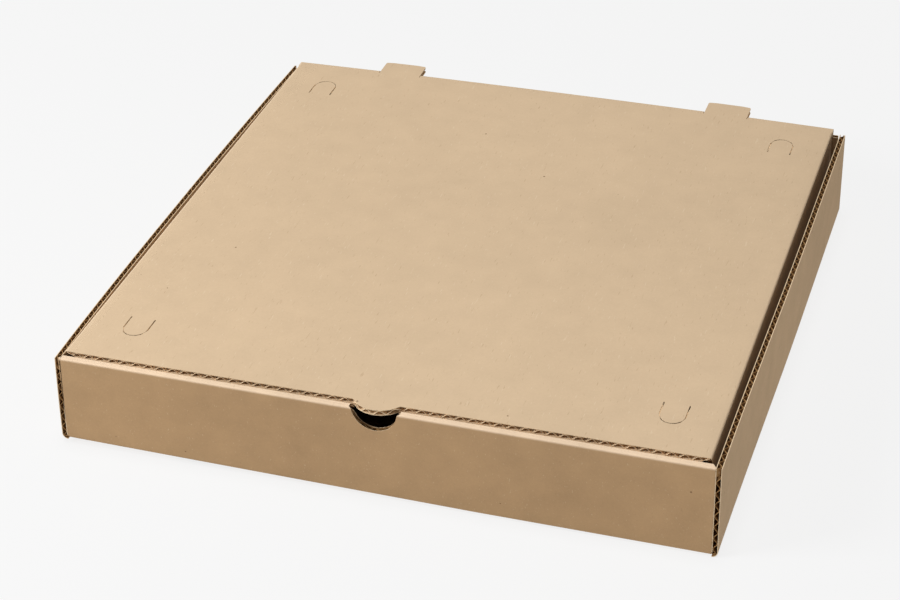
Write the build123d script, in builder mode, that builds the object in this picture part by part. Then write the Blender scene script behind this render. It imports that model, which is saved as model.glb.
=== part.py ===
"""A flat, square take-away box of corrugated kraft board: a tray with a rolled-over front wall, a hinged
lid whose side flaps tuck inside the side walls, and four half-cut vent flaps in the lid.

Millimetres. +X is the box's right, +Y its back, +Z up. The origin is the middle of the underside.
"""

from build123d import *
import math
import os

os.makedirs("parts", exist_ok=True)

# Board: two flat liners with a waved medium glued between them
board = 3.0
liner = 0.35
medium = 0.25
flute_pitch = 6.4
glue_bite = 0.05  # how far each crest of the medium sinks into its liner

# Tray
tray_width = 336.0  # over the outer faces of the side walls
tray_depth = 336.0  # front face to back face
side_wall_height = 50.5
front_wall_height = 51.0  # to the top of the crushed ridge along its fold
side_rear_inset = 3.5  # the side walls stop this far short of the back face
front_end_gap = 0.8  # between an end of the front wall and the side wall beside it
ply_gap = 0.2  # between the two plies of the rolled-over front wall
ridge_depth = 3.6  # front to back across the top of the crushed ridge
ridge_slope = 1.0  # the back of the ridge slants down over this distance
shoulder_drop = 1.8  # the inner ply's shoulder, behind the ridge, lies this far below its top
roll_radius = 0.9  # corners of the ridge and of the shoulder
roll_end_taper = 2.7  # the roll's ends slant in by this much towards the inner ply

# Locking tabs of the inner front ply, and their slots through the front fold
tab_width = 29.6
tab_centre = 92.0
tab_recess = 0.4  # the tabs stop this far above the table
slot_clearance = 0.4
slot_reach = 2.2  # how far a slot cuts forward into the rounded fold

# Thumb notch
notch_radius = 12.0
notch_ear_radius = 1.5
inner_notch_radius = 15.0

# Lid
lid_side_gap = 1.8  # between the lid's folded sides and the side walls
lid_rest_gap = 0.3  # between the lid's underside and the shoulder and back wall below it
lid_front_gap = 0.6  # between the lid's front edge and the foot of the ridge
lid_fold_radius = 1.0  # outer radius of the lid's crisp folds
lip_width = 24.1
lip_reach = 6.4
flap_floor_gap = 0.6
flap_front_gap = 1.3
flap_slant = 7.0  # the free front edge of a side flap leans back by this much
flap_corner_radius = 12.0
flap_rear_gap = 5.0  # the side folds stop this far short of the back face

# Rear tabs, cut out of the back wall and left standing in the plane of the lid
rear_tab_width = 25.0
rear_tab_centre = 99.5
rear_tab_reach = 11.5
rear_tab_radius = 1.0
window_clearance = 0.4

# Vent flaps, half cut through the lid
vent_width = 13.4
vent_length = 16.5
vent_centre = 137.7
vent_edge_distance = 38.0  # from the lid's front or rear edge to the uncut side of a vent flap
vent_slit = 0.5
vent_root_gap = 0.3

# Places that follow from the sizes above
half_width = tray_width / 2
front_face = -tray_depth / 2
back_face = tray_depth / 2
inside_side = half_width - board
inside_front = front_face + board
inside_back = back_face - board
side_wall_back = back_face - side_rear_inset
front_wall_half = inside_side - front_end_gap
inner_ply_half = front_wall_half - roll_end_taper
inner_ply_front = inside_front + ply_gap
front_wall_back = inner_ply_front + board
ridge_back = front_face + ridge_depth
ridge_foot = ridge_back + ridge_slope
shoulder_top = front_wall_height - shoulder_drop
roll_underside = shoulder_top - board

lid_underside = shoulder_top + lid_rest_gap
lid_top = lid_underside + board
lid_half = inside_side - lid_side_gap
lid_flat_half = lid_half - board
lid_front = ridge_foot + lid_front_gap
back_wall_top = lid_underside - lid_rest_gap
rear_tab_end = back_face + rear_tab_reach
flap_back = back_face - flap_rear_gap
flap_front = front_wall_back + flap_front_gap
flap_bottom = board + flap_floor_gap

# The lid turns about the outer line of its rear fold, which is the upper edge of the back face, so a
# rear tab sweeps a circle of this radius as it drops into its window
tab_sweep = math.hypot(rear_tab_reach, board)
window_sill = lid_top - tab_sweep - window_clearance

# The medium is a chain of arcs, each between two inflections a quarter pitch either side of its middle
clear_height = board - 2 * liner
swing = (clear_height + 2 * glue_bite - medium) / 2
quarter_pitch = flute_pitch / 4
arc_half_angle = 2 * math.atan(swing / quarter_pitch)
wave_radius = quarter_pitch / math.sin(arc_half_angle)
wave_centre = wave_radius - swing
near_radius = wave_radius - medium / 2
far_radius = wave_radius + medium / 2

# One tunnel of the board, seen end on: a trough of the medium, closed by the liner above it
turn_x = near_radius * math.sin(arc_half_angle)
turn_y = wave_centre - near_radius * math.cos(arc_half_angle)
liner_y = clear_height / 2
crest_x = 2 * quarter_pitch
liner_x = crest_x - math.sqrt(far_radius**2 - (liner_y + wave_centre) ** 2)
turn_angle = math.atan2(turn_y + wave_centre, turn_x - crest_x)
liner_angle = math.atan2(liner_y + wave_centre, liner_x - crest_x)
flank_angle = (turn_angle + liner_angle) / 2
flank_x = crest_x + far_radius * math.cos(flank_angle)
flank_y = far_radius * math.sin(flank_angle) - wave_centre

with BuildSketch() as tunnel:
    with BuildLine():
        ThreePointArc((-turn_x, turn_y), (0, wave_centre - near_radius), (turn_x, turn_y))
        ThreePointArc((turn_x, turn_y), (flank_x, flank_y), (liner_x, liner_y))
        Line((liner_x, liner_y), (-liner_x, liner_y))
        ThreePointArc((-liner_x, liner_y), (-flank_x, flank_y), (-turn_x, turn_y))
    make_face()

# A crease, seen end on: the flutes are crushed, so it is solid board turned about its inner line
with BuildSketch() as crease:
    Circle(board)
    Rectangle(board, board, align=(Align.MIN, Align.MIN), mode=Mode.INTERSECT)

# The lid's creases are pressed sharper
with BuildSketch() as crisp_crease:
    Rectangle(board, board, align=(Align.MIN, Align.MIN))
    outer_line = crisp_crease.vertices().group_by(Axis.X)[-1].sort_by(Axis.Y)[-1]
    fillet(outer_line, lid_fold_radius)


def fluted_board(centre, length, turn=0):
    """Draws the cut edge of a board in the open sketch: its outline, less every tunnel that fits."""
    troughs = int((length - liner) // flute_pitch)
    with Locations(Location((*centre, 0), (0, 0, turn))):
        Rectangle(length, board)
        with GridLocations(flute_pitch, 0, troughs, 1):
            add(tunnel.sketch, mode=Mode.SUBTRACT)
        with GridLocations(flute_pitch, 0, troughs - 1, 1):
            add(tunnel.sketch, rotation=180, mode=Mode.SUBTRACT)


def crease_at(inner_line, turn, shape=crease):
    """Draws a crease in the open sketch about its inner line, turned by quarter turns to its quadrant."""
    with Locations(Location((*inner_line, 0), (0, 0, turn))):
        add(shape.sketch)


# Tray: floor, with a slot for each locking tab ----------------------------------------------------


def tab_slots():
    """Draws the two slots, in plan, that let the locking tabs through the floor and its front crease."""
    slot_front = inside_front - slot_reach
    slot_back = front_wall_back + slot_clearance
    with Locations((-tab_centre, slot_front), (tab_centre, slot_front)):
        Rectangle(
            tab_width + 2 * slot_clearance,
            slot_back - slot_front,
            align=(Align.CENTER, Align.MIN),
        )


with BuildPart() as floor:
    with BuildSketch(Plane.XZ.offset(-inside_back)):
        fluted_board((0, board / 2), 2 * inside_side)
    extrude(amount=inside_back - inside_front)
    with BuildSketch():
        tab_slots()
    extrude(amount=board, mode=Mode.SUBTRACT)

# Tray: side walls, each with its crease along the floor. Their front and rear ends are cut edges. ---

with BuildPart() as side_walls:
    with BuildSketch(Plane.XZ.offset(-side_wall_back)):
        for side in (-1, 1):
            wall_middle = (side * (half_width - board / 2), (board + side_wall_height) / 2)
            fluted_board(wall_middle, side_wall_height - board, 90)
        crease_at((inside_side, board), 270)
        crease_at((-inside_side, board), 180)
    extrude(amount=side_wall_back - front_face)

# Tray: creases from the floor up into the front and back walls -----------------------------------

with BuildPart() as front_crease:
    with BuildSketch(Plane.YZ.offset(-front_wall_half)):
        crease_at((inside_front, board), 180)
    extrude(amount=2 * front_wall_half)
    with BuildSketch():
        tab_slots()
    extrude(amount=board, mode=Mode.SUBTRACT)

with BuildPart() as back_crease:
    with BuildSketch(Plane.YZ.offset(-lid_half)):
        crease_at((inside_back, board), 270)
    extrude(amount=2 * lid_half)

# Tray: thumb notch. The outer ply's has its upper corners eased outward, the inner ply's is wider. ---

ear_x = math.sqrt((notch_radius + notch_ear_radius) ** 2 - notch_ear_radius**2)
ear_share = notch_radius / (notch_radius + notch_ear_radius)
join_x = ear_share * ear_x
join_y = -ear_share * notch_ear_radius
ear_mid_x = ear_x - notch_ear_radius * math.sin(math.pi / 4)
ear_mid_y = notch_ear_radius * (math.cos(math.pi / 4) - 1)

with BuildSketch() as notch:
    with BuildLine():
        ThreePointArc((-ear_x, 0), (-ear_mid_x, ear_mid_y), (-join_x, join_y))
        ThreePointArc((-join_x, join_y), (0, -notch_radius), (join_x, join_y))
        ThreePointArc((join_x, join_y), (ear_mid_x, ear_mid_y), (ear_x, 0))
        Line((ear_x, 0), (-ear_x, 0))
    make_face()

# Tray: front wall, two plies joined by a crushed roll. Its top is a narrow ridge, and the lid's front
# edge lies behind it, on the inner ply's shoulder. The inner ply ends in two locking tabs. ---------

with BuildPart() as outer_ply:
    with BuildSketch(Plane.XY.offset(board)):
        fluted_board((0, front_face + board / 2), 2 * front_wall_half)
    extrude(amount=roll_underside - board)
    with BuildSketch(Plane.XZ.offset(-inside_front)):
        with Locations((0, front_wall_height)):
            add(notch.sketch)
    extrude(amount=board, mode=Mode.SUBTRACT)

with BuildPart() as inner_ply:
    ply_foot = board + ply_gap
    with BuildSketch(Plane.XY.offset(tab_recess)):
        fluted_board((0, inner_ply_front + board / 2), 2 * inner_ply_half)
    extrude(amount=roll_underside - tab_recess)
    with BuildSketch(Plane.XZ.offset(-front_wall_back)):
        Rectangle(tray_width, ply_foot, align=(Align.CENTER, Align.MIN))
        with Locations((-tab_centre, 0), (tab_centre, 0)):
            Rectangle(tab_width, ply_foot, align=(Align.CENTER, Align.MIN), mode=Mode.SUBTRACT)
        with Locations((0, front_wall_height)):
            Circle(inner_notch_radius)
    extrude(amount=board, mode=Mode.SUBTRACT)

with BuildPart() as roll:
    with BuildSketch(Plane.YZ.offset(-front_wall_half)) as roll_section:
        with BuildLine():
            Polyline(
                (front_face, roll_underside),
                (front_face, front_wall_height),
                (ridge_back, front_wall_height),
                (ridge_foot, shoulder_top),
                (front_wall_back, shoulder_top),
                (front_wall_back, roll_underside),
                close=True,
            )
        make_face()
        ridge_corners = roll_section.vertices().group_by(Axis.Y)[-1]
        shoulder_corner = roll_section.vertices().group_by(Axis.Y)[1].sort_by(Axis.X)[-1]
        fillet([*ridge_corners, shoulder_corner], roll_radius)
    extrude(amount=2 * front_wall_half)
    with BuildSketch(Plane.XY.offset(roll_underside)):
        with BuildLine():
            Polyline(
                (-front_wall_half, front_face),
                (front_wall_half, front_face),
                (front_wall_half, inside_front),
                (inner_ply_half, front_wall_back),
                (-inner_ply_half, front_wall_back),
                (-front_wall_half, inside_front),
                close=True,
            )
        make_face()
    extrude(amount=front_wall_height - roll_underside, mode=Mode.INTERSECT)
    with BuildSketch(Plane.XZ.offset(-front_wall_back)):
        with Locations((0, front_wall_height)):
            add(notch.sketch)
    extrude(amount=front_wall_back - front_face, mode=Mode.SUBTRACT)

# Tray: back wall, with a window below each rear tab ----------------------------------------------

with BuildPart() as back_wall:
    with BuildSketch(Plane.XY.offset(board)):
        fluted_board((0, back_face - board / 2), 2 * lid_half)
    extrude(amount=back_wall_top - board)
    with BuildSketch(Plane.XZ.offset(-back_face)):
        with Locations((-rear_tab_centre, back_wall_top), (rear_tab_centre, back_wall_top)):
            Rectangle(
                rear_tab_width + 2 * window_clearance,
                back_wall_top - window_sill,
                align=(Align.CENTER, Align.MAX),
            )
    extrude(amount=board, mode=Mode.SUBTRACT)

# Tray: all of it is one folded piece --------------------------------------------------------------

with BuildPart() as tray:
    add([floor.part, side_walls.part, front_crease.part, back_crease.part])
    add([outer_ply.part, inner_ply.part, roll.part, back_wall.part])

tray.part.label = "tray"
export_step(tray.part, "parts/tray.step")
print("tray", len(tray.part.solids()), "solid, volume", round(tray.part.volume), "mm3")

# Lid: its flat sheet, fluted front to back, cut to an outline with lip, rear tabs and vent holes ----


def vent_outline(place, slack, root_gap=0.0, mode=Mode.ADD):
    """Draws a vent flap, in plan, from its uncut side to its round end, wider by slack on each side."""
    x, root, reach = place
    near_end = root + reach * root_gap
    round_centre = root + reach * (vent_length - vent_width / 2)
    with Locations((x, (near_end + round_centre) / 2)):
        Rectangle(vent_width + 2 * slack, abs(round_centre - near_end), mode=mode)
    with Locations((x, round_centre)):
        Circle(vent_width / 2 + slack, mode=mode)


with BuildPart() as whole_sheet:
    with BuildSketch(Plane.XZ.offset(-rear_tab_end)):
        fluted_board((0, lid_underside + board / 2), 2 * lid_half)
    extrude(amount=rear_tab_end - lid_front + lip_reach)

front_root = lid_front + vent_edge_distance
rear_root = back_face - vent_edge_distance
vents = {
    "vent_flap_front_left": (-vent_centre, front_root, -1),
    "vent_flap_front_right": (vent_centre, front_root, -1),
    "vent_flap_rear_left": (-vent_centre, rear_root, 1),
    "vent_flap_rear_right": (vent_centre, rear_root, 1),
}

with BuildPart() as sheet:
    add(whole_sheet.part)
    with BuildSketch(Plane.XY.offset(lid_underside)):
        with Locations((0, lid_front)):
            Rectangle(2 * lid_flat_half, inside_back - lid_front, align=(Align.CENTER, Align.MIN))
        with Locations((0, flap_back)):
            Rectangle(2 * lid_half, inside_back - flap_back, align=(Align.CENTER, Align.MIN))
        with BuildLine():
            ThreePointArc(
                (-lip_width / 2, lid_front),
                (0, lid_front - lip_reach),
                (lip_width / 2, lid_front),
            )
            Line((lip_width / 2, lid_front), (-lip_width / 2, lid_front))
        make_face()
        with Locations((-rear_tab_centre, inside_back), (rear_tab_centre, inside_back)):
            RectangleRounded(rear_tab_width, 2 * (rear_tab_end - inside_back), rear_tab_radius)
        for place in vents.values():
            vent_outline(place, vent_slit / 2, mode=Mode.SUBTRACT)
    extrude(amount=board, mode=Mode.INTERSECT)

# Lid: creases along both sides and the back. The rear one is cut away on both sides of each tab. ----

with BuildPart() as side_creases:
    with BuildSketch(Plane.XZ.offset(-flap_back)):
        crease_at((lid_flat_half, lid_underside), 0, crisp_crease)
        crease_at((-lid_flat_half, lid_underside), 90, crisp_crease)
    extrude(amount=flap_back - lid_front)

with BuildPart() as rear_crease:
    with BuildSketch(Plane.YZ.offset(-lid_half)):
        crease_at((inside_back, lid_underside), 0, crisp_crease)
    extrude(amount=2 * lid_half)
    with BuildSketch(Plane.XY.offset(lid_underside)):
        with Locations((-rear_tab_centre, inside_back), (rear_tab_centre, inside_back)):
            Rectangle(
                rear_tab_width + 2 * window_clearance,
                board,
                align=(Align.CENTER, Align.MIN),
            )
    extrude(amount=board, mode=Mode.SUBTRACT)

# Lid: side flaps. The free corner is rounded and leans back, to clear the front wall as it swings. --

with BuildPart() as side_flaps:
    with BuildSketch(Plane.XZ.offset(-flap_back)):
        for side in (-1, 1):
            flap_middle = (side * (lid_half - board / 2), (flap_bottom + lid_underside) / 2)
            fluted_board(flap_middle, lid_underside - flap_bottom, 90)
    extrude(amount=flap_back - flap_front)
    with BuildSketch(Plane.YZ.offset(-lid_half)) as flap_outline:
        with BuildLine():
            Polyline(
                (flap_front, lid_underside),
                (flap_front + flap_slant, flap_bottom),
                (flap_back, flap_bottom),
                (flap_back, lid_underside),
                close=True,
            )
        make_face()
        free_corners = flap_outline.vertices().group_by(Axis.Y)[0].sort_by(Axis.X)
        fillet(free_corners[0], flap_corner_radius)
    extrude(amount=2 * lid_half, mode=Mode.INTERSECT)

# Lid: all of it is one folded piece ---------------------------------------------------------------

with BuildPart() as lid:
    add([sheet.part, side_creases.part, rear_crease.part, side_flaps.part])

lid.part.label = "lid"
export_step(lid.part, "parts/lid.step")
print("lid", len(lid.part.solids()), "solid, volume", round(lid.part.volume), "mm3")

# Vent flaps: the tongues of the same sheet inside the half cuts ------------------------------------

for name, place in vents.items():
    with BuildPart() as vent_flap:
        add(whole_sheet.part)
        with BuildSketch(Plane.XY.offset(lid_underside)):
            vent_outline(place, -vent_slit / 2, vent_root_gap)
        extrude(amount=board, mode=Mode.INTERSECT)
    vent_flap.part.label = name
    export_step(vent_flap.part, f"parts/{name}.step")
    print(name, len(vent_flap.part.solids()), "solid, volume", round(vent_flap.part.volume), "mm3")
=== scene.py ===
# %% [markdown]
# # A corrugated take-away box, one sheet of board at a time
#
# The real box is one die-cut sheet of brown kraft board. The board is two flat liners with a waved
# medium glued between them, so every cut edge shows the wave, and every fold crushes it.
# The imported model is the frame: it gives the size, the bodies that move and their joints.

# %% Load the frame
import math

import bpy
import numpy as np
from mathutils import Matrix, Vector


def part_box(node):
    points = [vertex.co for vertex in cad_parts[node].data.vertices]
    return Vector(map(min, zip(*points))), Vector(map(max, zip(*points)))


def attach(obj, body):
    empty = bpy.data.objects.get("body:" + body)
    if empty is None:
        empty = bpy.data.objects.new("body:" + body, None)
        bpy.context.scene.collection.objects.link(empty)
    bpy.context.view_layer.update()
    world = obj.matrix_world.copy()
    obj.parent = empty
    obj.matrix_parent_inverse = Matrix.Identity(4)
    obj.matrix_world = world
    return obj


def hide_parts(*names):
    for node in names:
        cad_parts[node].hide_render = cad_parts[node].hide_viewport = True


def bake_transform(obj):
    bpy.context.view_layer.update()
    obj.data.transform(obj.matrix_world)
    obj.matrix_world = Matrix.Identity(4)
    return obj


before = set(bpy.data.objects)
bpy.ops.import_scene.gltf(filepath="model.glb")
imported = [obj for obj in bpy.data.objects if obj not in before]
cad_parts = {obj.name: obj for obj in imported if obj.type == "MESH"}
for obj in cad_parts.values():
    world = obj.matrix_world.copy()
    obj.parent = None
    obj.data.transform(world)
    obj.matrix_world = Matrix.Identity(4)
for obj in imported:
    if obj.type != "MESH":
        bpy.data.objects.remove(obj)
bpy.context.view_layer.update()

MM = 0.001

# %% [markdown]
# ## The sizes that shape the sheet
#
# The tray and the lid say where they lie. What a box maker would call the board's own sizes, its
# thickness, its liners and the pitch of its flutes, are named here, in the frame's metres.

# %% Sizes of the board and the box
board = 3.0 * MM
liner = 0.35 * MM
medium = 0.25 * MM
flute_pitch = 6.4 * MM

tray_low, tray_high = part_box("tray")
lid_low, lid_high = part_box("lid")
vent_low, vent_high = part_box("vent_flap_front_right")

half_width = tray_high.x
front_face = tray_low.y
back_face = tray_high.y
inside_side = half_width - board
inside_front = front_face + board
inside_back = back_face - board
side_wall_top = tray_high.z
side_wall_back = back_face - 3.5 * MM
front_wall_top = 51.0 * MM
shoulder_top = 49.2 * MM
ridge_back = front_face + 3.6 * MM
ridge_foot = ridge_back + 1.0 * MM
front_wall_half = inside_side - 0.1 * MM
inner_ply_half = 161.5 * MM
inner_ply_face = -161.8 * MM
back_wall_top = 48.4 * MM

lid_top = lid_high.z
lid_under = lid_top - board
lid_half = lid_high.x
lid_fold_radius = 1.0 * MM
lid_flat_half = lid_half - lid_fold_radius
lid_front = ridge_foot + 0.6 * MM
lip_half = 12.05 * MM
lip_reach = lid_front - lid_low.y
flap_start = inner_ply_face + 0.6 * MM
flap_back = back_face - 5.0 * MM
flap_bottom = lid_low.z
rear_tab_end = lid_high.y
rear_tab_centre = 99.5 * MM
rear_tab_half = 12.5 * MM
window_clearance = 0.4 * MM
window_sill = 40.2 * MM

crease_arc = board * math.pi / 2
lid_fold_arc = lid_fold_radius * math.pi / 2
fold_middle = lid_flat_half + lid_fold_arc / 2
print("lid", round(2 * lid_half / MM, 1), "mm wide, front wall", round(front_wall_top / MM, 1), "mm high")

# %% [markdown]
# ## A flat pattern that can be cut and folded
#
# A box maker starts from a flat blank, and so does this script. Each panel is drawn as grids of
# points (u, v) on the flat sheet. Welding the grids gives one pattern with true holes and outlines.
# The same pattern then serves for both liners and for the medium, each at its own depth.

# %% Lines, welding and holes
WELD = 0.001 * MM


def lines(marks, spacing):
    """Every mark, and equal steps between neighbouring marks, none of them longer than spacing."""
    marks = sorted(marks)
    runs = [
        np.linspace(a, b, max(1, math.ceil((b - a) / spacing - 0.001)) + 1)[:-1]
        for a, b in zip(marks, marks[1:])
    ]
    return np.concatenate(runs + [marks[-1:]])


def grid(u, v):
    """All pairs of u and v as a block of points: v changes from row to row, u along each row."""
    return np.stack(np.meshgrid(u, v), -1)


def weld(*blocks):
    """One pattern from several blocks. Points nearer than a thousandth of a millimetre become one,
    each cell becomes two triangles, and triangles with no area are dropped."""
    triangles, start = [], 0
    for block in blocks:
        rows, columns = block.shape[:2]
        index = start + np.arange(rows * columns).reshape(rows, columns)
        a, b, c, d = index[:-1, :-1], index[:-1, 1:], index[1:, 1:], index[1:, :-1]
        triangles += [np.stack(t, -1).reshape(-1, 3) for t in ((a, b, c), (a, c, d))]
        start += rows * columns
    points = np.concatenate([block.reshape(-1, 2) for block in blocks])
    triangles = np.concatenate(triangles)
    keys = np.round(points / WELD).astype(np.int64)
    _, first, index = np.unique(keys, axis=0, return_index=True, return_inverse=True)
    points, triangles = points[first], index.ravel()[triangles]
    p, q, r = (points[triangles[:, corner]] for corner in range(3))
    area = (q - p)[:, 0] * (r - p)[:, 1] - (q - p)[:, 1] * (r - p)[:, 0]
    triangles[area < 0] = triangles[area < 0][:, ::-1]
    return points, triangles[np.abs(area) > WELD**2]


def cut(pattern, *holes):
    """The pattern without the cells whose middle lies in a hole, given as (low u, high u, low v, high v)."""
    points, triangles = pattern
    u, v = points[triangles].mean(axis=1).T
    kept = np.ones(len(triangles), bool)
    for low_u, high_u, low_v, high_v in holes:
        kept &= ~((u > low_u) & (u < high_u) & (v > low_v) & (v < high_v))
    return points, triangles[kept]


# %% [markdown]
# ## Folding
#
# A fold turns the outer face round an arc and leaves a sharp line inside. So the pattern is carried
# along the outer face, as a chain of straight runs and arcs, and depth is measured inwards from it.

# %% Following a folded face
def follow(distance, start, heading, pieces, inside):
    """Points on a folded line, and the inward direction at each. The line starts at start and runs
    straight for each (length, 0), or turns evenly by the angle of each (length, degrees).
    inside is 1 where the board lies to the left of the line, and -1 where it lies to the right."""
    point = np.zeros(distance.shape + (2,))
    inward = np.zeros_like(point)
    corner, angle, gone = np.array(start, float), math.radians(heading), 0.0
    for length, turn in pieces:
        bend = math.radians(turn) / length
        step = np.clip(distance - gone, 0, length)
        along = angle + bend * step
        if turn:
            leg = np.stack([np.sin(along) - math.sin(angle), math.cos(angle) - np.cos(along)], -1) / bend
        else:
            leg = np.stack([step * math.cos(angle), step * math.sin(angle)], -1)
        here = distance >= gone - WELD
        point[here] = (corner + leg)[here]
        inward[here] = (inside * np.stack([-np.sin(along), np.cos(along)], -1))[here]
        end = angle + math.radians(turn)
        if turn:
            corner = corner + np.array([math.sin(end) - math.sin(angle), math.cos(angle) - math.cos(end)]) / bend
        else:
            corner = corner + length * np.array([math.cos(angle), math.sin(angle)])
        angle, gone = end, gone + length
    return point, inward


# %% [markdown]
# ## Settling
#
# A real box is never quite flat: the lid swells a little towards the middle and the back, and the
# side walls lean out between their ends. One smooth push does each, and it is applied to every layer
# alike, so that neighbours stay together.

# %% How the board settles
lid_swell = 1.2 * MM
right_lean = 1.3 * MM
left_bow = 0.6 * MM
left_close = 1.4 * MM
corner_lift = 2.2 * MM
lid_draw = 1.2 * MM


def swell(x, y):
    """Rise of the lid: greatest along its middle line, nothing at its sides, and least at the front."""
    across = 1 - np.clip(np.abs(x) / lid_half, 0, 1) ** 2
    back = np.clip((y - lid_front) / (back_face - lid_front), 0, 1)
    return lid_swell * across * (0.15 + 0.85 * np.sin(back * math.pi / 2))


def lift(x, y, z):
    """Rise of the tray's near left corner, which curls up off the table, fading out up the walls."""
    reach = 50 * MM
    corner = np.clip((reach - x) / (reach + half_width), 0, 1) * np.clip(-y / back_face, 0, 1) ** 3
    return corner_lift * corner * (1 - np.clip(z / side_wall_top, 0, 1))


def lean(side, y, z):
    """Outward push of a side wall. The right wall spreads as a whole, from nothing at the front to
    its most past the middle. The left wall bows in its upper part and closes in at both ends."""
    along = y / back_face
    grown = np.clip((along + 0.9) / 1.15, 0, 1)
    right = right_lean * grown * grown * (3 - 2 * grown)
    left = left_bow * (1 - (along + 0.1) ** 2) - left_close * np.clip(along, 0, 1) ** 2
    left = (left - left_close * np.clip(-along, 0, 1) ** 3) * np.clip(z / side_wall_top, 0, 1) ** 1.5
    return np.where(side > 0, right, left)


def draw(x):
    """Inward pull of the lid's right side, all of it taken up in the last few centimetres."""
    return lid_draw * np.clip(x / lid_half, 0, 1) ** 6


def pressed(distance, fold, reach=3.0 * MM):
    """Share of the board's thickness that a pressed fold leaves: three tenths at the fold, and all of
    it again a little way off."""
    return 0.3 + 0.7 * np.clip((np.abs(distance - fold) - 0.8 * MM) / reach, 0, 1)


# %% Places of the four folded strips
side_run = side_wall_top - board
flap_run = lid_top - lid_fold_radius - flap_bottom


def place_tray(points, depth):
    """Floor and side walls: u runs across the underside and up a wall, v is y."""
    u, v = points.T
    pieces = [(inside_side, 0), (crease_arc, 90), (side_run, 0)]
    face, inward = follow(np.abs(u), (0, 0), 0, pieces, inside=1)
    x, z = (face + inward * np.broadcast_to(depth, u.shape)[:, None]).T
    x = np.sign(u) * (x + lean(u, v, z) * np.clip(x / inside_side, 0, 1) ** 6)
    return np.stack([x, v, z + lift(x, v, z)], -1)


def place_lid(points, depth):
    """Lid: u runs across the top and down a side flap, v is y."""
    u, v = points.T
    pieces = [(lid_flat_half, 0), (lid_fold_arc, -90), (flap_run, 0)]
    face, inward = follow(np.abs(u), (0, lid_top), 0, pieces, inside=-1)
    x, z = (face + inward * (pressed(np.abs(u), fold_middle) * depth)[:, None]).T
    x = np.sign(u) * x
    return np.stack([x - draw(x), v, z + swell(x, v)], -1)


roll_radius = 0.9 * MM
foot_radius = 0.5 * MM
roll_arc = roll_radius * math.pi / 2
ridge_angle = math.atan2(front_wall_top - shoulder_top, ridge_foot - ridge_back)
ridge_cut = math.tan(ridge_angle / 2)
ridge_flat = ridge_back - front_face - roll_radius * (1 + ridge_cut)
slope_run = math.hypot(front_wall_top - shoulder_top, ridge_foot - ridge_back) - (
    (roll_radius + foot_radius) * ridge_cut)
shoulder_flat = inner_ply_face - ridge_foot - foot_radius * ridge_cut - roll_radius
outer_run = front_wall_top - roll_radius - board
inner_foot = 3.2 * MM
inner_run = shoulder_top - roll_radius - inner_foot
tab_run = inner_foot - 0.4 * MM
ridge_turn = math.degrees(ridge_angle)
front_path = [
    (crease_arc, -90), (outer_run, 0), (roll_arc, -90), (ridge_flat, 0),
    (roll_radius * ridge_angle, -ridge_turn), (slope_run, 0), (foot_radius * ridge_angle, ridge_turn),
    (shoulder_flat, 0), (roll_arc, -90), (inner_run + tab_run, 0),
]
front_marks = np.cumsum([length for length, _ in front_path])
roll_start, roll_end = front_marks[1], front_marks[8]
inner_end = roll_end + inner_run
crush_reach = 3.0 * MM
crushed_roll = 0.3


def place_front(points, depth):
    """Front wall: u is x, v runs from the floor up the front, over the ridge, along the shoulder and
    down inside. The board is crushed to three tenths of its thickness where it rolls over."""
    x, v = points.T
    face, inward = follow(v, (inside_front, 0), 180, front_path, inside=-1)
    away = np.maximum(roll_start - v, v - roll_end) / crush_reach
    thickness = crushed_roll + (1 - crushed_roll) * np.clip(away, 0, 1)
    y, z = (face + inward * (thickness * depth)[:, None]).T
    return np.stack([x, y, z + lift(x, y, z)], -1)


def place_back(points, depth):
    """Back wall: u is x, v runs from the floor up the back."""
    x, v = points.T
    pieces = [(crease_arc, 90), (back_wall_top - board, 0)]
    face, inward = follow(v, (inside_back, 0), 0, pieces, inside=1)
    y, z = (face + inward * np.broadcast_to(depth, v.shape)[:, None]).T
    rise = swell(x, back_face) * (z / lid_top)
    return np.stack([x, y, z + rise], -1)


# %% [markdown]
# ## From pattern to board
#
# Each layer is a closed slab: the pattern at one depth, the pattern at another, and a rim between
# them along every cut. The medium's depth follows a cosine wave, flattened where a fold crushes it.

# %% Slabs, the wave and the finished mesh
medium_swing = (board - 2 * liner - medium) / 2


def slab(pattern, place, near, far, finishes):
    """Closed mesh between two depths below the outer face. The rim joins the two copies of each
    edge that only one triangle uses. Everything is turned so that it faces outwards. finishes are
    those of the near face, of the far face and of the rim."""
    points, triangles = pattern
    count = len(points)
    depth = np.broadcast_to(near, (count,)), np.broadcast_to(far, (count,))
    vertices = np.concatenate([place(points, depth[0]), place(points, depth[1])])
    edges = np.concatenate([triangles[:, [0, 1]], triangles[:, [1, 2]], triangles[:, [2, 0]]])
    ahead, back = edges[:, 0] * count + edges[:, 1], edges[:, 1] * count + edges[:, 0]
    a, b = edges[~np.isin(ahead, back)].T
    rim = np.concatenate([np.stack([a, a + count, b + count], -1), np.stack([a, b + count, b], -1)])
    faces = np.concatenate([triangles, triangles[:, ::-1] + count, rim])
    p, q, r = (vertices[triangles[:, corner]] for corner in range(3))
    outward = np.cross(q - p, r - p) * (vertices[triangles[:, 0]] - vertices[triangles[:, 0] + count])
    if outward.sum() < 0:
        faces = faces[:, ::-1]
    finish = np.repeat(finishes, [len(triangles), len(triangles), len(rim)])
    return vertices, faces, finish


def waved(phase, crush=0.0, pitch=flute_pitch):
    """Depth of the medium's middle: a cosine of the given pitch, from liner to liner, whose height
    varies by a few percent from flute to flute, less what a fold crushes."""
    uneven = 1 - 0.05 * np.sin(phase / (2.7 * pitch)) ** 2
    return board / 2 + medium_swing * uneven * (1 - crush) * np.cos(2 * math.pi * phase / pitch)


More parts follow.
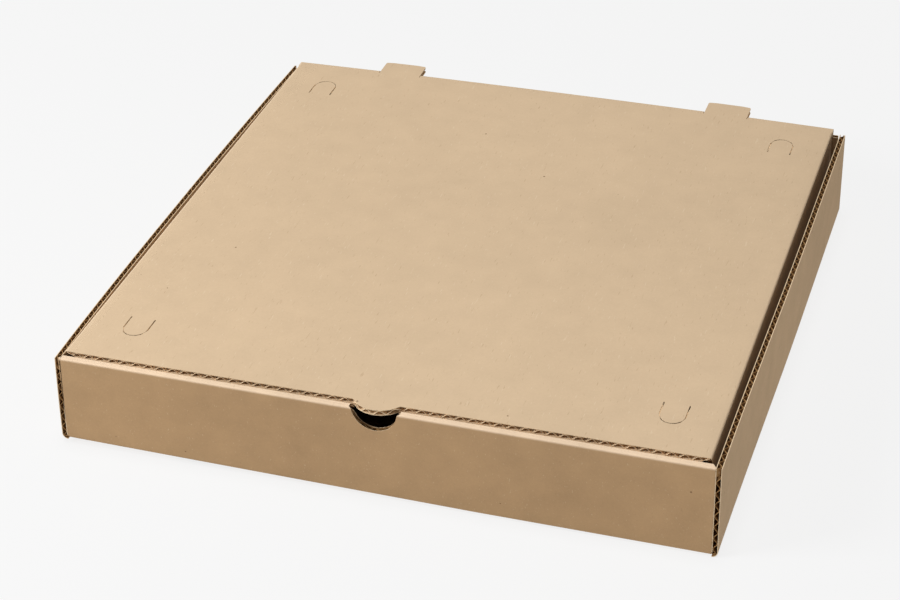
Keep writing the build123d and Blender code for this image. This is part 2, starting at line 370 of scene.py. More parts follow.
def near_to(value, *folds, reach=2.5 * MM):
    """1 at a fold, falling to 0 at reach from it."""
    gap = np.min([np.abs(value - fold) for fold in folds], axis=0)
    return np.clip(1 - gap / reach, 0, 1)


KRAFT, CUT, SHADED_FLUTE = 0, 1, 2


def board_slabs(plain, fine, place, wave, parts="outer inner medium"):
    """Outer liner, inner liner and medium of one panel. wave gives the medium's depth at the fine
    pattern's points."""
    slabs = []
    if "outer" in parts:
        # The liners' faces towards the medium take the dark flute finish: painted shade in the hollows between
        # the flutes.
        slabs.append(slab(plain, place, 0, liner, (KRAFT, SHADED_FLUTE, CUT)))
    if "inner" in parts:
        slabs.append(slab(plain, place, board - liner, board, (SHADED_FLUTE, KRAFT, CUT)))
    if "medium" in parts:
        middle = wave(*fine[0].T)
        slabs.append(slab(fine, place, middle - medium / 2, middle + medium / 2, (SHADED_FLUTE, SHADED_FLUTE, SHADED_FLUTE)))
    return slabs


def make_piece(name, slabs, finishes):
    """One mesh object at the origin from several slabs, smooth except along its sharp edges."""
    counts = np.cumsum([0] + [len(s[0]) for s in slabs])
    vertices = np.concatenate([s[0] for s in slabs])
    faces = np.concatenate([s[1] + shift for s, shift in zip(slabs, counts)])
    mesh = bpy.data.meshes.new(name)
    mesh.from_pydata(vertices.tolist(), [], faces.tolist())
    for finish in finishes:
        mesh.materials.append(finish)
    mesh.polygons.foreach_set("material_index", np.concatenate([s[2] for s in slabs]).astype(np.int32))
    mesh.polygons.foreach_set("use_smooth", np.ones(len(faces), bool))
    mesh.set_sharp_from_angle(angle=math.radians(35))
    mesh.validate()
    piece = bpy.data.objects.new(name, mesh)
    bpy.context.scene.collection.objects.link(piece)
    print(f"{name}: {len(faces)} triangles")
    return piece


# %% [markdown]
# ## Kraft
#
# Kraft liner is a warm brown with cloudy mottling, a fine grain and a few stray fibres and specks.
# All of them are one shader group, so that liners, cut edges and flutes share the same paper at
# different strengths. It reads Object coordinates, in metres, so the grain keeps its real size.

# %% The shared paper group
def group_socket(group, name, kind, direction, value=None):
    socket = group.interface.new_socket(name=name, in_out=direction, socket_type=kind)
    if value is not None:
        socket.default_value = value
    return socket


def build_paper_group():
    """Paper colour and height: two scales of soft noise tint it, sparse cells turn into specks, and
    stretched noise turns into fibres."""
    group = bpy.data.node_groups.new("kraft_paper", "ShaderNodeTree")
    group_socket(group, "Vector", "NodeSocketVector", "INPUT")
    group_socket(group, "Tone", "NodeSocketColor", "INPUT", (0.5, 0.4, 0.3, 1))
    group_socket(group, "Mottle", "NodeSocketFloat", "INPUT", 0.1)
    group_socket(group, "Grain", "NodeSocketFloat", "INPUT", 0.1)
    group_socket(group, "Specks", "NodeSocketFloat", "INPUT", 0.5)
    group_socket(group, "Fibres", "NodeSocketFloat", "INPUT", 0.5)
    group_socket(group, "Color", "NodeSocketColor", "OUTPUT")
    group_socket(group, "Height", "NodeSocketFloat", "OUTPUT")
    nodes, links = group.nodes, group.links
    source, sink = nodes.new("NodeGroupInput"), nodes.new("NodeGroupOutput")

    def noise(scale, detail, roughness=0.5, stretch=None):
        texture = nodes.new("ShaderNodeTexNoise")
        texture.inputs["Scale"].default_value = scale
        texture.inputs["Detail"].default_value = detail
        texture.inputs["Roughness"].default_value = roughness
        if stretch:
            mapping = nodes.new("ShaderNodeMapping")
            mapping.inputs["Rotation"].default_value = stretch[0]
            mapping.inputs["Scale"].default_value = stretch[1]
            links.new(source.outputs["Vector"], mapping.inputs["Vector"])
            links.new(mapping.outputs["Vector"], texture.inputs["Vector"])
        else:
            links.new(source.outputs["Vector"], texture.inputs["Vector"])
        return texture.outputs["Fac"]

    def math_node(operation, first, second, third=None):
        node = nodes.new("ShaderNodeMath")
        node.operation = operation
        for socket, value in zip(node.inputs, (first, second, third)):
            if value is None:
                continue
            if isinstance(value, (int, float)):
                socket.default_value = value
            else:
                links.new(value, socket)
        return node.outputs[0]

    def spread(value, low, high):
        node = nodes.new("ShaderNodeMapRange")
        node.interpolation_type = "SMOOTHSTEP"
        node.inputs["From Min"].default_value = low
        node.inputs["From Max"].default_value = high
        links.new(value, node.inputs["Value"])
        return node.outputs["Result"]

    def blend_by(factor, color, other, mode="MIX"):
        node = nodes.new("ShaderNodeMix")
        node.data_type = "RGBA"
        node.blend_type = mode
        links.new(factor, node.inputs["Factor"])
        for socket, value in ((node.inputs[6], color), (node.inputs[7], other)):
            if isinstance(value, tuple):
                socket.default_value = value
            else:
                links.new(value, socket)
        return node.outputs[2]

    clouds = math_node("SUBTRACT", noise(9, 3), 0.5)
    patches = math_node("SUBTRACT", noise(70, 4, 0.6), 0.5)
    grain = math_node("SUBTRACT", noise(900, 3, 0.7), 0.5)
    tint = math_node("ADD", clouds, math_node("MULTIPLY", patches, 0.9))
    shade = math_node("MULTIPLY_ADD", tint, source.outputs["Mottle"], 1.0)
    shade = math_node("MULTIPLY_ADD", grain, source.outputs["Grain"], shade)
    scale = nodes.new("ShaderNodeVectorMath")
    scale.operation = "SCALE"
    links.new(source.outputs["Tone"], scale.inputs[0])
    links.new(shade, scale.inputs["Scale"])
    color = scale.outputs[0]

    speck = nodes.new("ShaderNodeTexVoronoi")
    speck.inputs["Scale"].default_value = 110
    links.new(source.outputs["Vector"], speck.inputs["Vector"])
    split = nodes.new("ShaderNodeSeparateColor")
    links.new(speck.outputs["Color"], split.inputs[0])
    size = math_node("MULTIPLY", spread(split.outputs[0], 0.62, 1.0), 0.06)
    dot = math_node("LESS_THAN", speck.outputs["Distance"], size)
    dark = math_node("MULTIPLY", dot, math_node("GREATER_THAN", split.outputs[1], 0.45))
    pale = math_node("MULTIPLY", dot, math_node("LESS_THAN", split.outputs[1], 0.45))
    pale = math_node("MULTIPLY", pale, 0.15)
    color = blend_by(
        math_node("MULTIPLY", dark, source.outputs["Specks"]), color, (0.16, 0.09, 0.045, 1)
    )
    color = blend_by(
        math_node("MULTIPLY", pale, source.outputs["Specks"]), color, (0.72, 0.6, 0.44, 1)
    )
    for turn, bound in ((0.5, 0.70), (-0.9, 0.71)):
        hair = noise(1, 1, 0.5, ((0.3, 0.2, turn), (1400, 170, 700)))
        color = blend_by(
            math_node("MULTIPLY", spread(hair, bound, bound + 0.05), source.outputs["Fibres"]),
            color,
            (0.75, 0.62, 0.45, 1) if turn > 0 else (0.3, 0.19, 0.1, 1),
        )
    links.new(color, sink.inputs["Color"])
    height = math_node("MULTIPLY_ADD", patches, 0.5, grain)
    links.new(height, sink.inputs["Height"])
    return group


paper = build_paper_group()


# %% The materials of the box
def kraft_material(name, tone, mottle, grain, specks, fibres, roughness, bump, washboard=0.0,
                   painted_highlight_bands=(), pale=(1, 1, 1)):
    """Matt paper: the group's colour, and a bump from its height. washboard adds the faint lines that the flutes
    press into a liner, a cosine of x with the flutes' own pitch. The next argument lists bands (axis, where it
    starts, where it is full) in which the colour turns to the tone pale: a painted highlight where an edge or a
    ridge catches the light."""
    material = bpy.data.materials.new(name)
    material.use_nodes = True
    nodes, links = material.node_tree.nodes, material.node_tree.links
    shader = nodes["Principled BSDF"]
    shader.inputs["Roughness"].default_value = roughness
    shader.inputs["Specular IOR Level"].default_value = 0.03
    where = nodes.new("ShaderNodeTexCoord")
    sheet = nodes.new("ShaderNodeGroup")
    sheet.node_tree = paper
    sheet.inputs["Tone"].default_value = (*tone, 1)
    sheet.inputs["Mottle"].default_value = mottle
    sheet.inputs["Grain"].default_value = grain
    sheet.inputs["Specks"].default_value = specks
    sheet.inputs["Fibres"].default_value = fibres
    links.new(where.outputs["Object"], sheet.inputs["Vector"])
    links.new(sheet.outputs["Color"], shader.inputs["Base Color"])
    axes = nodes.new("ShaderNodeSeparateXYZ")
    links.new(where.outputs["Object"], axes.inputs[0])
    # Painted highlight: inside the bands the tone is blended towards pale.
    highlight_mask = None
    for axis, start, full in painted_highlight_bands:
        band = nodes.new("ShaderNodeMapRange")
        band.interpolation_type = "SMOOTHSTEP"
        flip = -1 if full < start else 1
        band.inputs["From Min"].default_value = start * flip
        band.inputs["From Max"].default_value = full * flip
        turned = nodes.new("ShaderNodeMath")
        turned.operation = "MULTIPLY"
        turned.inputs[1].default_value = flip
        links.new(axes.outputs[axis], turned.inputs[0])
        links.new(turned.outputs[0], band.inputs["Value"])
        if highlight_mask is None:
            highlight_mask = band.outputs["Result"]
        else:
            both = nodes.new("ShaderNodeMath")
            both.operation = "MAXIMUM"
            links.new(highlight_mask, both.inputs[0])
            links.new(band.outputs["Result"], both.inputs[1])
            highlight_mask = both.outputs[0]
    if highlight_mask is not None:
        highlight_mix = nodes.new("ShaderNodeMix")
        highlight_mix.data_type = "RGBA"
        highlight_mix.inputs[6].default_value = (*tone, 1)
        highlight_mix.inputs[7].default_value = (*pale, 1)
        links.new(highlight_mask, highlight_mix.inputs["Factor"])
        links.new(highlight_mix.outputs[2], sheet.inputs["Tone"])
    relief = nodes.new("ShaderNodeBump")
    relief.inputs["Strength"].default_value = bump
    relief.inputs["Distance"].default_value = 0.00015
    links.new(sheet.outputs["Height"], relief.inputs["Height"])
    links.new(relief.outputs["Normal"], shader.inputs["Normal"])
    if washboard:
        turns = nodes.new("ShaderNodeMath")
        turns.operation = "MULTIPLY"
        turns.inputs[1].default_value = 2 * math.pi / flute_pitch
        links.new(axes.outputs["X"], turns.inputs[0])
        ripple = nodes.new("ShaderNodeMath")
        ripple.operation = "COSINE"
        links.new(turns.outputs[0], ripple.inputs[0])
        total = nodes.new("ShaderNodeMath")
        total.operation = "MULTIPLY_ADD"
        total.inputs[1].default_value = washboard
        links.new(ripple.outputs[0], total.inputs[0])
        links.new(sheet.outputs["Height"], total.inputs[2])
        links.new(total.outputs[0], relief.inputs["Height"])
    return material


# The lid's kraft, with a thin paler band along its left fold: a painted highlight where light from the left
# catches that edge.
lid_kraft = kraft_material(
    "lid_kraft", (0.584, 0.437, 0.287), 0.14, 0.12, 0.8, 0.3, 0.78, 0.25, 0.05,
    painted_highlight_bands=[("X", 1.4 * MM - lid_half, 0.5 * MM - lid_half)],
    pale=(0.70, 0.54, 0.38),
)
# The front wall's kraft is the lid's paper toned darker and warmer: painted shade on the upright front face.
front_kraft = kraft_material(
    "front_kraft", (0.462, 0.296, 0.158), 0.28, 0.14, 0.7, 0.25, 0.78, 0.25, 0.05,
    # Painted highlight: the top 1.5 mm of the roll turns to a paler tone, where the ridge faces the light.
    painted_highlight_bands=[("Z", front_wall_top - 1.5 * MM, front_wall_top - 0.1 * MM)],
    pale=(0.71, 0.54, 0.38),
)
side_kraft = kraft_material("side_kraft", (0.590, 0.412, 0.246), 0.20, 0.14, 0.7, 0.25, 0.78, 0.25)
# The cut edges' own paper tone, made paler still: painted light on edges that sit in shaded gaps.
cut_kraft = kraft_material("cut_edge", (0.72, 0.55, 0.36), 0.3, 0.6, 0.2, 0.6, 0.9, 0.8)
# The medium's paper, darkened beyond its own brown: painted shade in the hollows between the flutes.
shaded_flute_kraft = kraft_material("flute_paper_and_shade", (0.36, 0.205, 0.085), 0.3, 0.4, 0.2, 0.4, 0.88, 0.5)
# The lid's medium, the same flute paper painted much paler: painted light on the lid's front cut edge, which
# sits in shade behind the roll.
lit_flute_kraft = kraft_material("lid_flute_painted_light", (0.80, 0.61, 0.40), 0.3, 0.4, 0.2, 0.4, 0.88, 0.5)
lid_finishes = [lid_kraft, cut_kraft, lit_flute_kraft]
front_finishes = [front_kraft, cut_kraft, shaded_flute_kraft]
side_finishes = [side_kraft, cut_kraft, shaded_flute_kraft]

# %% [markdown]
# ## The lid
#
# The lid is one sheet with flutes that run front to back. It has a lip at the front, two tabs behind
# its rear fold, and four U-shaped cuts. Its sides fold down inside the tray.
# Round each cut, a ring of cells leads from a rectangle of the grid to the U itself.

# %% Vent flaps: the ring round each U, and the tongue inside it
vent_half = (vent_high.x - vent_low.x) / 2
vent_centre = (vent_high.x + vent_low.x) / 2
vent_root = vent_high.y + 0.3 * MM
vent_length = vent_root - vent_low.y
vent_slit = 0.33 * MM
ring_side = 10.5 * MM
ring_back = 5.0 * MM
ring_front = vent_length + 5.0 * MM


def u_outline(share, half, length):
    """The U, from share 0 to 4: its straight root, one leg and an eighth of the circle, the far
    quarter of the circle, and back down the other leg."""
    straight = length - half
    side = np.floor(np.clip(share, 0, 3.999999)).astype(int)
    part = share - side
    leg_share = straight / (straight + half * math.pi / 4)
    on_leg = np.minimum(part / leg_share, 1) * straight
    eighth = np.clip((part - leg_share) / (1 - leg_share), 0, 1) * math.pi / 4
    right = np.stack([half * np.cos(eighth), on_leg + half * np.sin(eighth)], -1)
    far_angle = math.pi / 4 + part * math.pi / 2
    far = np.stack([half * np.cos(far_angle), straight + half * np.sin(far_angle)], -1)
    back_part = 1 - part
    on_leg = np.minimum(back_part / leg_share, 1) * straight
    eighth = np.clip((back_part - leg_share) / (1 - leg_share), 0, 1) * math.pi / 4
    left = np.stack([-half * np.cos(eighth), on_leg + half * np.sin(eighth)], -1)
    root = np.stack([half * (2 * part - 1), np.zeros_like(part)], -1)
    return np.choose(side[..., None], [root, right, far, left])


def vent_places():
    """(name, middle x, root y, direction of the tongue) of each vent flap, from the frame."""
    places = []
    for name in ("front_left", "front_right", "rear_left", "rear_right"):
        low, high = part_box("vent_flap_" + name)
        reach = -1 if "front" in name else 1
        root = high.y + 0.3 * MM if reach < 0 else low.y - 0.3 * MM
        places.append((name, (low.x + high.x) / 2, root, reach))
    return places


vents = vent_places()


def ring_box(x, root, reach):
    """The rectangle of the lid's grid that a ring of cells takes up: low u, high u, low v, high v."""
    ends = sorted((root - reach * ring_back, root + reach * ring_front))
    return x - ring_side, x + ring_side, ends[0], ends[1]


def vent_ring(x, root, reach, u_lines, v_lines, steps):
    """Cells between the rectangle's own grid points and the U, in equal steps."""
    low_u, high_u, low_v, high_v = ring_box(x, root, reach)
    u = u_lines[(u_lines > low_u - WELD) & (u_lines < high_u + WELD)] - x
    v = (v_lines[(v_lines > low_v - WELD) & (v_lines < high_v + WELD)] - root) * reach
    v = np.sort(v)
    near, far, left, right = v[0], v[-1], u[0], u[-1]
    outer = np.concatenate([
        np.stack([u, np.full(len(u), near)], -1)[:-1],
        np.stack([np.full(len(v), right), v], -1)[:-1],
        np.stack([u[::-1], np.full(len(u), far)], -1)[:-1],
        np.stack([np.full(len(v), left), v[::-1]], -1),
    ])
    share = np.concatenate([
        (u[:-1] - left) / (right - left),
        1 + (v[:-1] - near) / (far - near),
        2 + (u[:0:-1] - right) / (left - right),
        3 + (v[::-1] - far) / (near - far),
    ])
    hole = u_outline(share, vent_half + vent_slit, vent_length + vent_slit)
    hole[-1] = hole[0]
    part = np.linspace(0, 1, steps + 1)[:, None, None]
    cells = outer * (1 - part) + hole * part
    return np.stack([x + cells[..., 0], root + reach * cells[..., 1]], -1)


# %% The lid's pattern
vent_marks_u = [x + side * ring_side for _, x, _, _ in vents for side in (-1, 1)]
vent_marks_v = [edge for _, x, root, reach in vents for edge in ring_box(x, root, reach)[2:]]
tab_marks = [s * rear_tab_centre + side * rear_tab_half for s in (-1, 1) for side in (-1, 1)]


def lid_pattern(step_u, step_v, ring_steps):
    """Lid: a grid with the lip pushed out of its front row, a flap at each side and two tabs."""
    flap_edge = lid_flat_half + lid_fold_arc
    u_flat = lines(
        [-flap_edge, -lid_flat_half, *set(vent_marks_u), *tab_marks, -lip_half, 0, lip_half,
         lid_flat_half, flap_edge],
        step_u,
    )
    front_line = lid_front + 8 * MM
    fold_u = np.linspace(lid_flat_half, flap_edge, 6)[1:-1]
    u_flat = np.sort(np.concatenate([u_flat, fold_u, -fold_u]))
    v_all = lines([front_line, *set(vent_marks_v), flap_back], step_v)
    v_flat = np.concatenate([np.linspace(lid_front, front_line, 5)[:-1], v_all])
    body = grid(u_flat, v_flat)
    lip_radius = (lip_half**2 + lip_reach**2) / (2 * lip_reach)
    u, v = body[..., 0], body[..., 1]
    arc = np.sqrt(np.maximum(lip_radius**2 - u**2, 0)) - (lip_radius - lip_reach)
    pull = np.clip((front_line - v) / (front_line - lid_front), 0, 1)
    body[..., 1] = v - np.where(np.abs(u) < lip_half, arc, 0) * pull
    rear_u = u_flat[np.abs(u_flat) < lid_flat_half + WELD]
    blocks = [body, grid(rear_u, [flap_back, inside_back])]
    for side in (-1, 1):
        down = lines([0, MM, 2 * MM, flap_run - 12 * MM, flap_run], step_u)
        round_off = np.maximum(down - (flap_run - 12 * MM), 0)
        front = lid_front + (flap_start - lid_front) * np.clip(down / (2 * MM), 0, 1)
        front = front + 8 * MM * down / flap_run
        front = front + 12 * MM - np.sqrt(np.maximum((12 * MM) ** 2 - round_off**2, 0))
        share = (v_flat - lid_front) / (flap_back - lid_front)
        v = front[None, :] + (flap_back - front)[None, :] * share[:, None]
        u = np.broadcast_to(side * (flap_edge + down)[None, :], v.shape)
        blocks.append(np.stack([u, v], -1))
        middle = side * rear_tab_centre
        tab_u = u_flat[np.abs(u_flat - middle) < rear_tab_half + WELD]
        tab_u = np.sort(np.append(tab_u, [middle - rear_tab_half + 0.4 * MM, middle + rear_tab_half - 0.4 * MM]))
        corner = 1.6 * MM
        beyond = np.maximum(np.abs(tab_u - middle) - (rear_tab_half - corner), 0)
        end = rear_tab_end - corner + np.sqrt(np.maximum(corner**2 - beyond**2, 0))
        rows = np.linspace(0, 1, 6)[:, None]
        tab_v = inside_back + (end[None, :] - inside_back) * rows
        blocks.append(np.stack([np.broadcast_to(tab_u[None, :], tab_v.shape), tab_v], -1))
    v_rows = v_flat
    rings = [vent_ring(x, root, reach, u_flat, v_rows, ring_steps) for _, x, root, reach in vents]
    boxes = [ring_box(x, root, reach) for _, x, root, reach in vents]
    body_points, body_triangles = cut(weld(*blocks), *boxes)
    return merge((body_points, body_triangles), weld(*rings))


def merge(first, second):
    """Two patterns as one, welded where their points meet."""
    points = np.concatenate([first[0], second[0]])
    triangles = np.concatenate([first[1], second[1] + len(first[0])])
    keys = np.round(points / WELD).astype(np.int64)
    _, kept, index = np.unique(keys, axis=0, return_index=True, return_inverse=True)
    return points[kept], index.ravel()[triangles]


def lid_wave(u, v):
    """The lid's medium waves across the box and is crushed at both side folds."""
    return waved(u, near_to(np.abs(u), fold_middle, reach=5 * MM) * 0.8)


lid_slabs = board_slabs(
    lid_pattern(6 * MM, 12 * MM, 3), lid_pattern(0.6 * MM, 30 * MM, 7), place_lid, lid_wave
)


def place_flat(points, depth):
    """A flat piece in the lid's plane."""
    x, y = points.T
    return np.stack([x - draw(x), y, lid_top - depth + swell(x, y)], -1)


for side in (-1, 1):
    corner = grid(np.sort([side * lid_flat_half, side * lid_half]), [flap_back, inside_back])
    lid_slabs.append(slab(weld(corner), place_flat, 0, board, (KRAFT, KRAFT, CUT)))
lid_piece = make_piece("lid_sheet", lid_slabs, lid_finishes)

# %% [markdown]
# ## The vent tongues
#
# Each tongue is the same board inside the cut, and it lies flat in the lid's plane.

# %% Tongues
def tongue_pattern(x, root, reach, columns):
    """Rows across the tongue, each as wide as the U is there, closing to a point at the round end."""
    half, length = vent_half - vent_slit, vent_length - vent_slit
    straight = length - half
    angles = np.linspace(0, math.pi / 2, 13)[1:]
    reaches = np.concatenate([np.linspace(0, straight, 15), straight + half * np.sin(angles)])
    halves = np.concatenate([np.full(15, half), half * np.cos(angles)])
    across = np.linspace(-1, 1, columns)
    u = x + halves[:, None] * across[None, :]
    v = root + reach * np.broadcast_to(reaches[:, None], u.shape)
    return weld(np.stack([u, v], -1))


tongue_pieces = []
for name, x, root, reach in vents:
    slabs = board_slabs(
        tongue_pattern(x, root, reach, 13),
        tongue_pattern(x, root, reach, 31),
        lambda points, depth: place_flat(points, depth),
        lambda u, v: waved(u),
    )
    tongue = make_piece("vent_tongue_" + name, slabs, lid_finishes)
    tongue_pieces.append((name, tongue, root, reach))

# %% [markdown]
# ## The tray
#
# The floor and the side walls are one strip folded upwards. Their flutes run front to back, so the
# walls' upright front edges show the wave. The walls' top edges are cut with a toothed rule, which
# leaves a row of small hollows between the two liners.

# %% Floor and side walls
slot_near = 76.8 * MM
slot_far = 107.2 * MM
slot_back = inner_ply_face + 0.4 * MM
wall_edge = inside_side + crease_arc + side_run
edge_band = 4.5 * MM
tooth_pitch = 5.4 * MM


def tray_pattern(step_u, step_v, wall_top):
    """Floor between the front and back folds, and side walls that run on to the front face."""
    floor_u = lines([-inside_side, -slot_far, -slot_near, 0, slot_near, slot_far, inside_side], step_u)
    floor_v = lines([inside_front, slot_back, side_wall_back, inside_back], step_v)
    wall_v = np.concatenate([[front_face], floor_v[floor_v < side_wall_back + WELD]])
    rise = lines([inside_side, inside_side + crease_arc, wall_top], step_u)
    fine_rise = np.concatenate([np.linspace(inside_side, inside_side + crease_arc, 9)[:-1],
                                rise[rise > inside_side + crease_arc - WELD]])
    slots = [
        (min(s * slot_near, s * slot_far), max(s * slot_near, s * slot_far), inside_front, slot_back)
        for s in (-1, 1)
    ]
    return cut(
        weld(grid(floor_u, floor_v), grid(fine_rise, wall_v), grid(-fine_rise[::-1], wall_v)), *slots
    )


def tray_wave(u, v):
    """The tray's medium waves across the box and is crushed at both side folds."""
    fold = inside_side + crease_arc / 2
    return waved(np.abs(u) + 1.5 * MM, near_to(np.abs(u), fold, reach=4 * MM) * 0.8)


def tooth_pattern(side):
    """The band of medium along the top of one side wall."""
    v = lines([front_face, side_wall_back], 0.6 * MM)
    u = np.sort(side * np.array([wall_edge - edge_band, wall_edge - edge_band / 2, wall_edge]))
    return weld(grid(u, v))


tray_slabs = board_slabs(
    tray_pattern(8 * MM, 15 * MM, wall_edge),
    tray_pattern(0.6 * MM, 60 * MM, wall_edge - edge_band - 0.3 * MM),
    place_tray,
    tray_wave,
)
for side in (-1, 1):
    band = tooth_pattern(side)
    tray_slabs += board_slabs(
        band, band, place_tray, lambda u, v: waved(v + 1.0 * MM, pitch=tooth_pitch), parts="medium"
    )
tray_piece = make_piece("tray_floor_and_sides", tray_slabs, side_finishes)

# %% [markdown]
# ## The front wall
#
# The front wall is doubled: the board goes up, rolls over and comes down inside, where two tabs lock
# through the floor. The roll is crushed, so its top is a soft, closed band. The thumb notch is cut
# through both plies, wider in the inner one, with its upper corners eased.

# %% The notch as a half width at each height
notch_radius = 11.4 * MM
ear_radius = 1.5 * MM
inner_notch_radius = 15 * MM
ear_x = math.sqrt((notch_radius + ear_radius) ** 2 - ear_radius**2)
ear_drop = ear_radius * notch_radius / (notch_radius + ear_radius)


def notch_half(z):
    """Half width of the outer notch: a circle's, and near the top that of the ear beside it."""
    fall = front_wall_top - z
    circle = np.sqrt(np.maximum(notch_radius**2 - fall**2, 0))
    ear = ear_x - np.sqrt(np.maximum(ear_radius**2 - (ear_radius - fall) ** 2, 0))
    return np.where(fall > ear_drop, circle, ear)


def front_rows(step):
    """Distances along the folded front wall: close together where a notch or a fold curves."""
    bottom = crease_arc + front_wall_top - notch_radius - board
    outer_arc = bottom + notch_radius * (1 - np.cos(np.linspace(0, math.acos(roll_radius / notch_radius), 14)))
    top_fall = front_wall_top - shoulder_top + roll_radius
    inner_bottom = roll_end + inner_notch_radius - top_fall
    inner_arc = roll_end - top_fall + inner_notch_radius * np.cos(
        np.linspace(math.acos(top_fall / inner_notch_radius), 0, 12))
    rolled = [np.linspace(a, b, 7 if turn else 3)
              for a, b, (_, turn) in zip(front_marks[1:8], front_marks[2:9], front_path[2:9])]
    return np.unique(np.round(np.concatenate([
        np.linspace(0, crease_arc, 9),
        lines([crease_arc, bottom], step),
        outer_arc,
        *rolled,
        inner_arc,
        lines([inner_bottom, inner_end], step),
    ]), 8))


def front_pattern(step_u, step_v):
    """Rows of the front wall from the notch out to its ends, both halves, and the two locking tabs."""
    v = front_rows(step_v)
    face, _ = follow(v, (inside_front, 0), 180, front_path, inside=-1)
    y, z = face.T
    fall = front_wall_top - z
    inner_circle = np.sqrt(np.maximum(inner_notch_radius**2 - fall**2, 0))
    outer_side = v < roll_end - WELD
    start = np.where(outer_side, notch_half(z), inner_circle)
    start = np.where(fall > np.where(outer_side, notch_radius, inner_notch_radius) - WELD, 0, start)
    slant = np.clip((y - front_face - roll_radius) / (inner_ply_face - front_face - roll_radius), 0, 1)
    end = front_wall_half + (inner_ply_half - front_wall_half) * np.where(outer_side, slant, 1)
    tab_low, tab_high = 77.2 * MM / inner_ply_half, 106.8 * MM / inner_ply_half
    share = lines(
        [0, slot_near / front_wall_half, tab_low, slot_far / front_wall_half, tab_high, 1],
        step_u / front_wall_half,
    )
    x = start[:, None] + (end - start)[:, None] * share[None, :]
    rows = np.broadcast_to(v[:, None], x.shape)
    blocks = [np.stack([x, rows], -1), np.stack([-x[:, ::-1], rows], -1)]
    tab_share = share[(share > tab_low - 1e-9) & (share < tab_high + 1e-9)]
    for s in (-1, 1):
        blocks.append(grid(np.sort(s * tab_share * inner_ply_half), inner_end + np.array([0, tab_run])))
    cut_up = board * math.asin(2.2 / 3.0)
    slot_top = v[np.argmin(np.abs(v - cut_up))]
    slots = [
        (min(s * slot_near, s * slot_far), max(s * slot_near, s * slot_far), -MM, slot_top)
        for s in (-1, 1)
    ]
    return cut(weld(*blocks), *slots)


def front_wave(u, v):
    """The front wall's medium waves across the box, and the fold and the roll crush it."""
    rolled = np.clip(1 - np.maximum(roll_start - v, v - roll_end) / crush_reach, 0, 1)
    return waved(u, np.maximum(near_to(v, crease_arc / 2, reach=5 * MM), rolled) * 0.85)


front_piece = make_piece(
    "front_wall",
    board_slabs(front_pattern(6 * MM, 8 * MM), front_pattern(0.7 * MM, 12 * MM), place_front, front_wave),
    front_finishes,
)

# %% [markdown]
# ## The back wall and its crease
#
# The back wall stands up from the floor and turns into the lid along a crease. Two windows are left where the
# rear tabs were cut out. The crease is a piece of its own, which runs from the top of the back wall round to the
# lid's top face.

# %% Back wall
window_near = rear_tab_centre - rear_tab_half - window_clearance
window_far = rear_tab_centre + rear_tab_half + window_clearance


def back_pattern(step_u, step_v):
    """Back wall from its fold to just under the crease, less the two windows."""
    sill = crease_arc + window_sill - board
    top = crease_arc + back_wall_top - board
    u = lines([-inside_side, -window_far, -window_near, 0, window_near, window_far, inside_side], step_u)
    v = np.concatenate([np.linspace(0, crease_arc, 9)[:-1], lines([crease_arc, sill, top], step_v)])
    holes = [
        (min(s * window_near, s * window_far), max(s * window_near, s * window_far), sill, top)
        for s in (-1, 1)
    ]
    return cut(weld(grid(u, v)), *holes)


def back_wave(u, v):
    """The back wall's medium waves across the box and is crushed at its foot."""
    return waved(u, near_to(v, crease_arc / 2, reach=5 * MM) * 0.85)


back_piece = make_piece(
    "back_wall",
    board_slabs(back_pattern(8 * MM, 8 * MM), back_pattern(0.7 * MM, 20 * MM), place_back, back_wave),
    side_finishes,
)

# %% Rear crease
crease_drop = lid_top - lid_fold_radius - back_wall_top
crease_path = [(crease_drop, 0), (lid_fold_arc, 90), (board - lid_fold_radius, 0)]
crease_middle = crease_drop + lid_fold_arc / 2


def place_crease(points, depth):
    """Crease: u is x, v runs from the top of the back wall round to the lid's top face."""
    x, v = points.T
    face, inward = follow(v, (back_face, back_wall_top), 90, crease_path, inside=1)
    y, z = (face + inward * (pressed(v, crease_middle) * depth)[:, None]).T
    rise_here = swell(x, back_face) * np.minimum(z / lid_top, 1)
    return np.stack([x - draw(x), y, z + rise_here], -1)


crease_end = crease_drop + lid_fold_arc + board - lid_fold_radius
crease_rows = np.concatenate([[0, crease_drop / 2], crease_drop + np.linspace(0, lid_fold_arc, 9), [crease_end]])
crease_blocks = [
    grid(lines(ends, 8 * MM), crease_rows)
    for ends in ((-lid_half, -window_far), (-window_near, window_near), (window_far, lid_half))
]
crease_piece = make_piece(
    "rear_crease",
    [slab(weld(*crease_blocks), place_crease, 0, board - 0.05 * MM, (KRAFT, KRAFT, CUT))],
    lid_finishes,
)

# %% [markdown]
# ## Bodies
#
# The tray, the front wall and the back wall follow the tray's body, and the lid sheet follows the lid's. The
# rear crease and the tongues stay where they are built.

# %% Ride
for piece in (tray_piece, front_piece, back_piece):
    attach(piece, "tray_body")
    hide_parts("tray")
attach(lid_piece, "lid_body")
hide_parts("lid")
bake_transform(crease_piece)
for name, tongue, root, reach in tongue_pieces:
    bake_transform(tongue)
    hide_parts("vent_flap_" + name)

# %% [markdown]
# ## Floor, light and camera
#
# The box stands on a plain pale floor in soft, nearly even light that comes mostly from above.

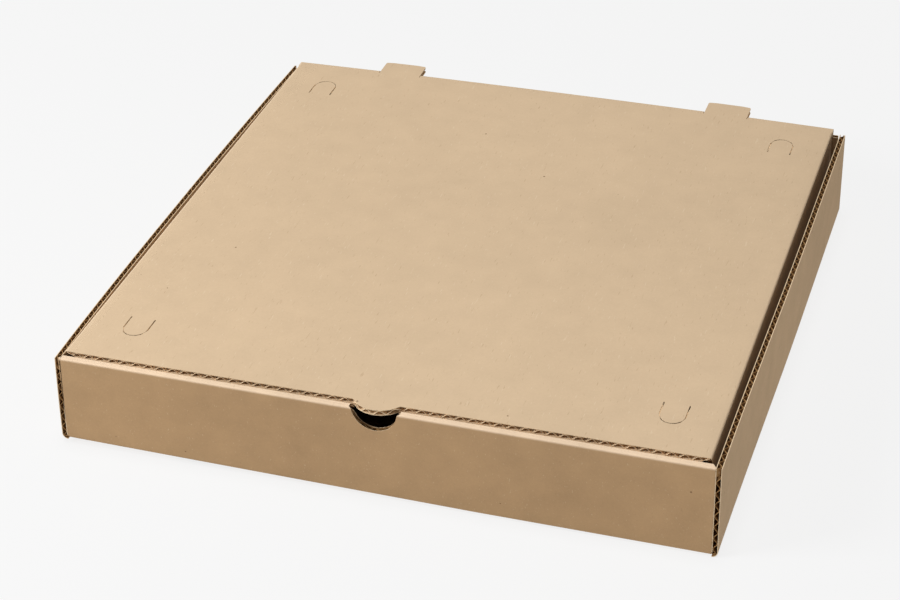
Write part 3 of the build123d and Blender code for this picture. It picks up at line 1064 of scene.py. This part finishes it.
# %% Floor
floor_mesh = bpy.data.meshes.new("floor")
floor_mesh.from_pydata([(-4, -4, 0), (4, -4, 0), (4, 4, 0), (-4, 4, 0)], [], [(0, 1, 2, 3)])
floor_object = bpy.data.objects.new("floor", floor_mesh)
bpy.context.scene.collection.objects.link(floor_object)
floor_finish = bpy.data.materials.new("pale_floor")
floor_finish.use_nodes = True
floor_shader = floor_finish.node_tree.nodes["Principled BSDF"]
floor_shader.inputs["Base Color"].default_value = (0.10, 0.10, 0.10, 1)
floor_shader.inputs["Emission Color"].default_value = (1, 1, 1, 1)
floor_shader.inputs["Emission Strength"].default_value = 0.805
floor_shader.inputs["Roughness"].default_value = 0.9
floor_shader.inputs["Specular IOR Level"].default_value = 0.0
floor_mesh.materials.append(floor_finish)

# %% Light
world = bpy.data.worlds.new("studio")
world.use_nodes = True
world.node_tree.nodes["Background"].inputs["Color"].default_value = (1, 1, 1, 1)
world.node_tree.nodes["Background"].inputs["Strength"].default_value = 0.12
bpy.context.scene.world = world


def soft_light(name, kind, place, target, strength, size):
    """A light at place, turned to face target. size is an area light's side in metres, or the angle
    that a sun light fills."""
    light = bpy.data.lights.new(name, kind)
    light.energy = strength
    if kind == "AREA":
        light.size = size
    else:
        light.angle = size
    lamp = bpy.data.objects.new(name, light)
    lamp.location = place
    towards = np.array(target) - np.array(place)
    flat = math.hypot(towards[0], towards[1])
    lamp.rotation_euler = (math.atan2(flat, -towards[2]), 0, math.atan2(-towards[0], towards[1]))
    bpy.context.scene.collection.objects.link(lamp)


soft_light("overhead", "SUN", (0.01, 0, 1.3), (0, 0, 0), 2.08, math.radians(24))
soft_light("left_front", "AREA", (-1.0, -0.72, 0.8), (0, 0, 0.03), 14, 0.5)

# %% Camera
view_turn, view_rise, view_roll = math.radians(18.32), math.radians(32.368), math.radians(-1.368)
view_distance = 1.2679
view_target = np.array([-0.02015, 0.01228, 0.0])
focal_share = 2.5562
backward = np.array([
    math.sin(view_turn) * math.cos(view_rise),
    -math.cos(view_turn) * math.cos(view_rise),
    math.sin(view_rise),
])
camera_data = bpy.data.cameras.new("camera")
camera_data.sensor_width = 36
camera_data.lens = focal_share * camera_data.sensor_width
camera = bpy.data.objects.new("camera", camera_data)
camera.location = view_target + backward * view_distance
right = np.cross(-backward, (0, 0, 1))
right /= np.linalg.norm(right)
up = np.cross(right, -backward)
turned_right = math.cos(view_roll) * right + math.sin(view_roll) * up
turned_up = -math.sin(view_roll) * right + math.cos(view_roll) * up
axes = np.stack([turned_right, turned_up, backward], -1)
camera.rotation_mode = "QUATERNION"
import mathutils
camera.rotation_quaternion = mathutils.Matrix(axes.tolist()).to_quaternion()
bpy.context.scene.collection.objects.link(camera)
bpy.context.scene.camera = camera
bpy.context.scene.view_settings.view_transform = "Standard"
